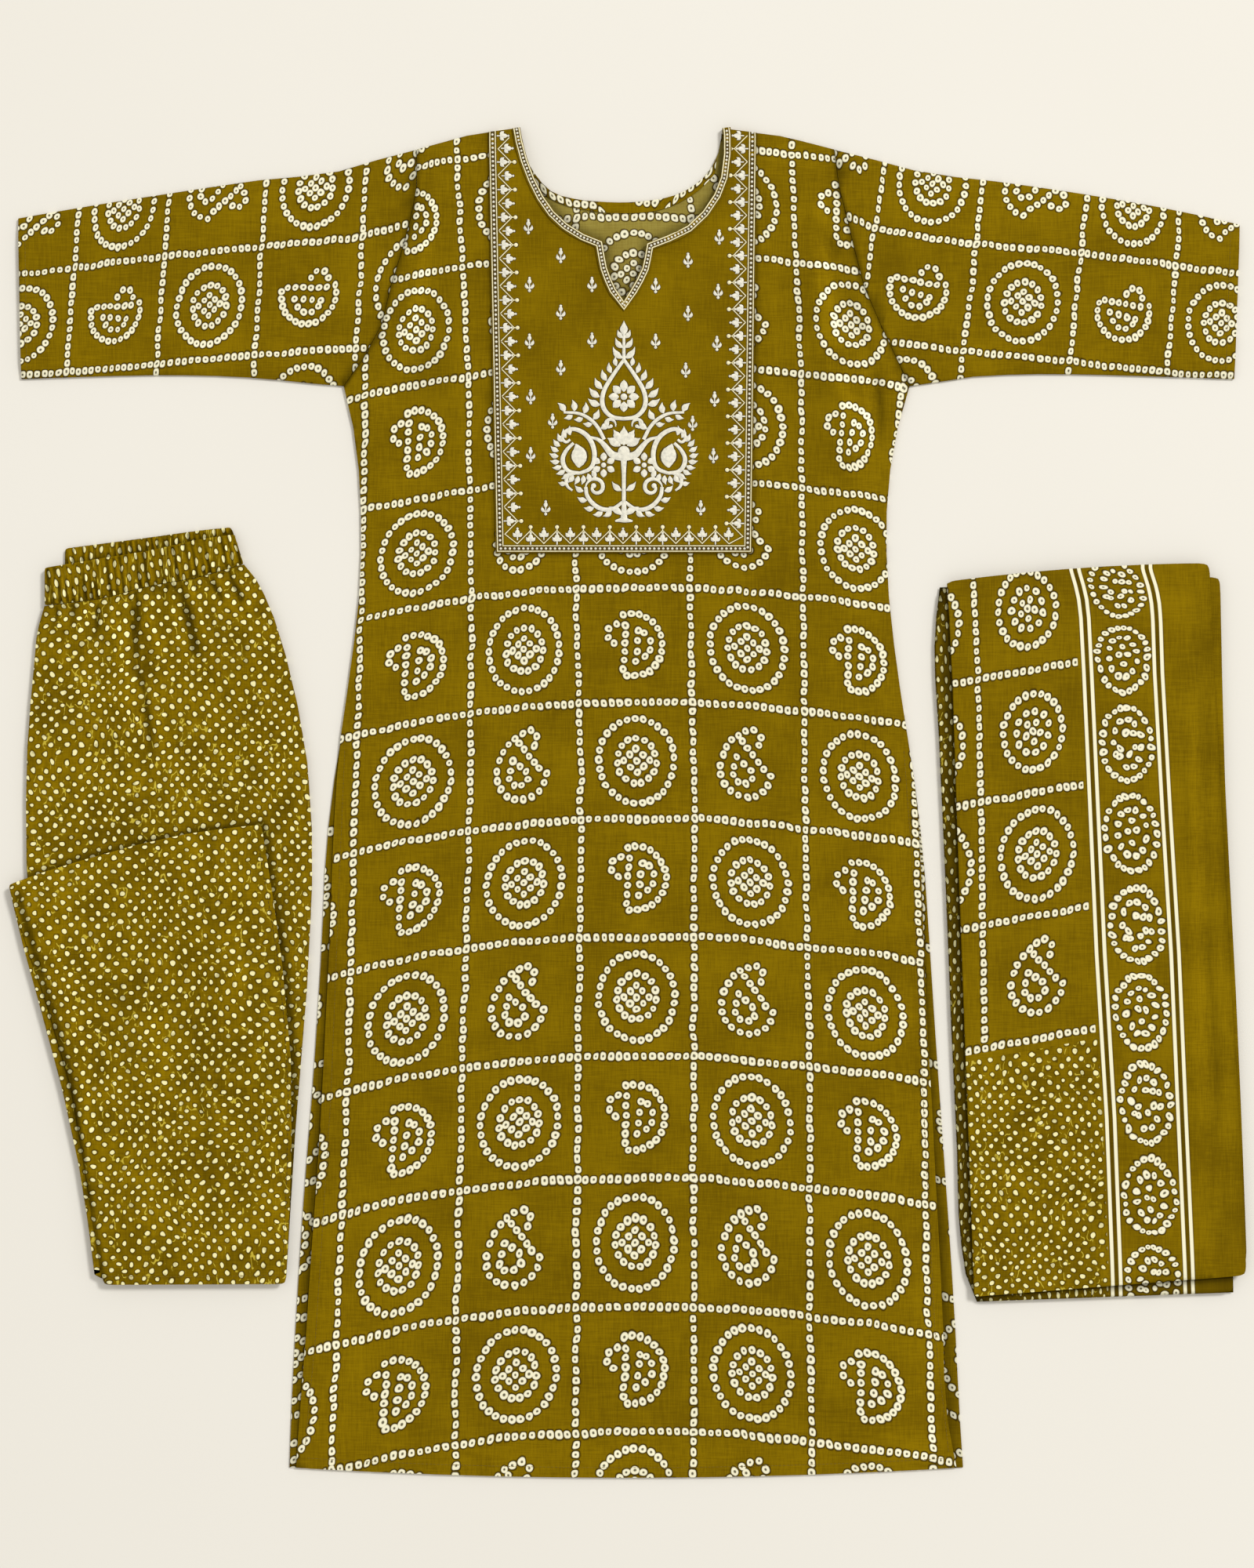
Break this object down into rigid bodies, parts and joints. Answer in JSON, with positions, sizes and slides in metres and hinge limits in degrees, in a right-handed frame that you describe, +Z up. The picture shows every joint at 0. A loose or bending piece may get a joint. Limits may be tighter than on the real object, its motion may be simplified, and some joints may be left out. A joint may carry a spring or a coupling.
{
  "type": "salwar kameez suit",
  "caption": "Salwar kameez suit laid flat: long tunic with a notched neck and a yoke panel, elasticated trousers with the lower leg folded up, and a folded stole.",
  "frame": {"origin": "on the surface the suit lies on, at the middle of its bounding box", "axes": "+Y from the kameez's hem to its neckline, +X towards the wearer's left sleeve and the dupatta, +Z up off the surface"},
  "size_m": [1.0702, 1.1682, 0.0096],
  "materials": {
    "kameez_print": "soft matt rayon weave, tie-dye style print of off-white bead rings on olive mustard",
    "plain_cloth": "plain olive mustard cloth under off-white thread embroidery",
    "neck_trim": "off-white double piping with a chain of dark-centred dots",
    "salwar_print": "soft matt rayon weave printed with small off-white dots on olive mustard",
    "dupatta_print": "fine cotton with a faint sheen, bead print, double white stripes and a plain border"
  },
  "bodies": {
    "root": {"kameez_back": "kameez_print", "kameez_front": "kameez_print", "kameez_right_sleeve": "kameez_print", "kameez_left_sleeve": "kameez_print", "kameez_yoke": "plain_cloth", "kameez_neck_trim": "neck_trim", "kameez_back_neck_facing": "kameez_print", "salwar_waistband": "salwar_print", "salwar_under_waistband": "salwar_print", "salwar_leg": "salwar_print", "salwar_folded_lower_leg": "salwar_print", "salwar_under_leg": "salwar_print", "dupatta_top_layers": "dupatta_print", "dupatta_under_layers": "dupatta_print"}
  },
  "joints": []
}
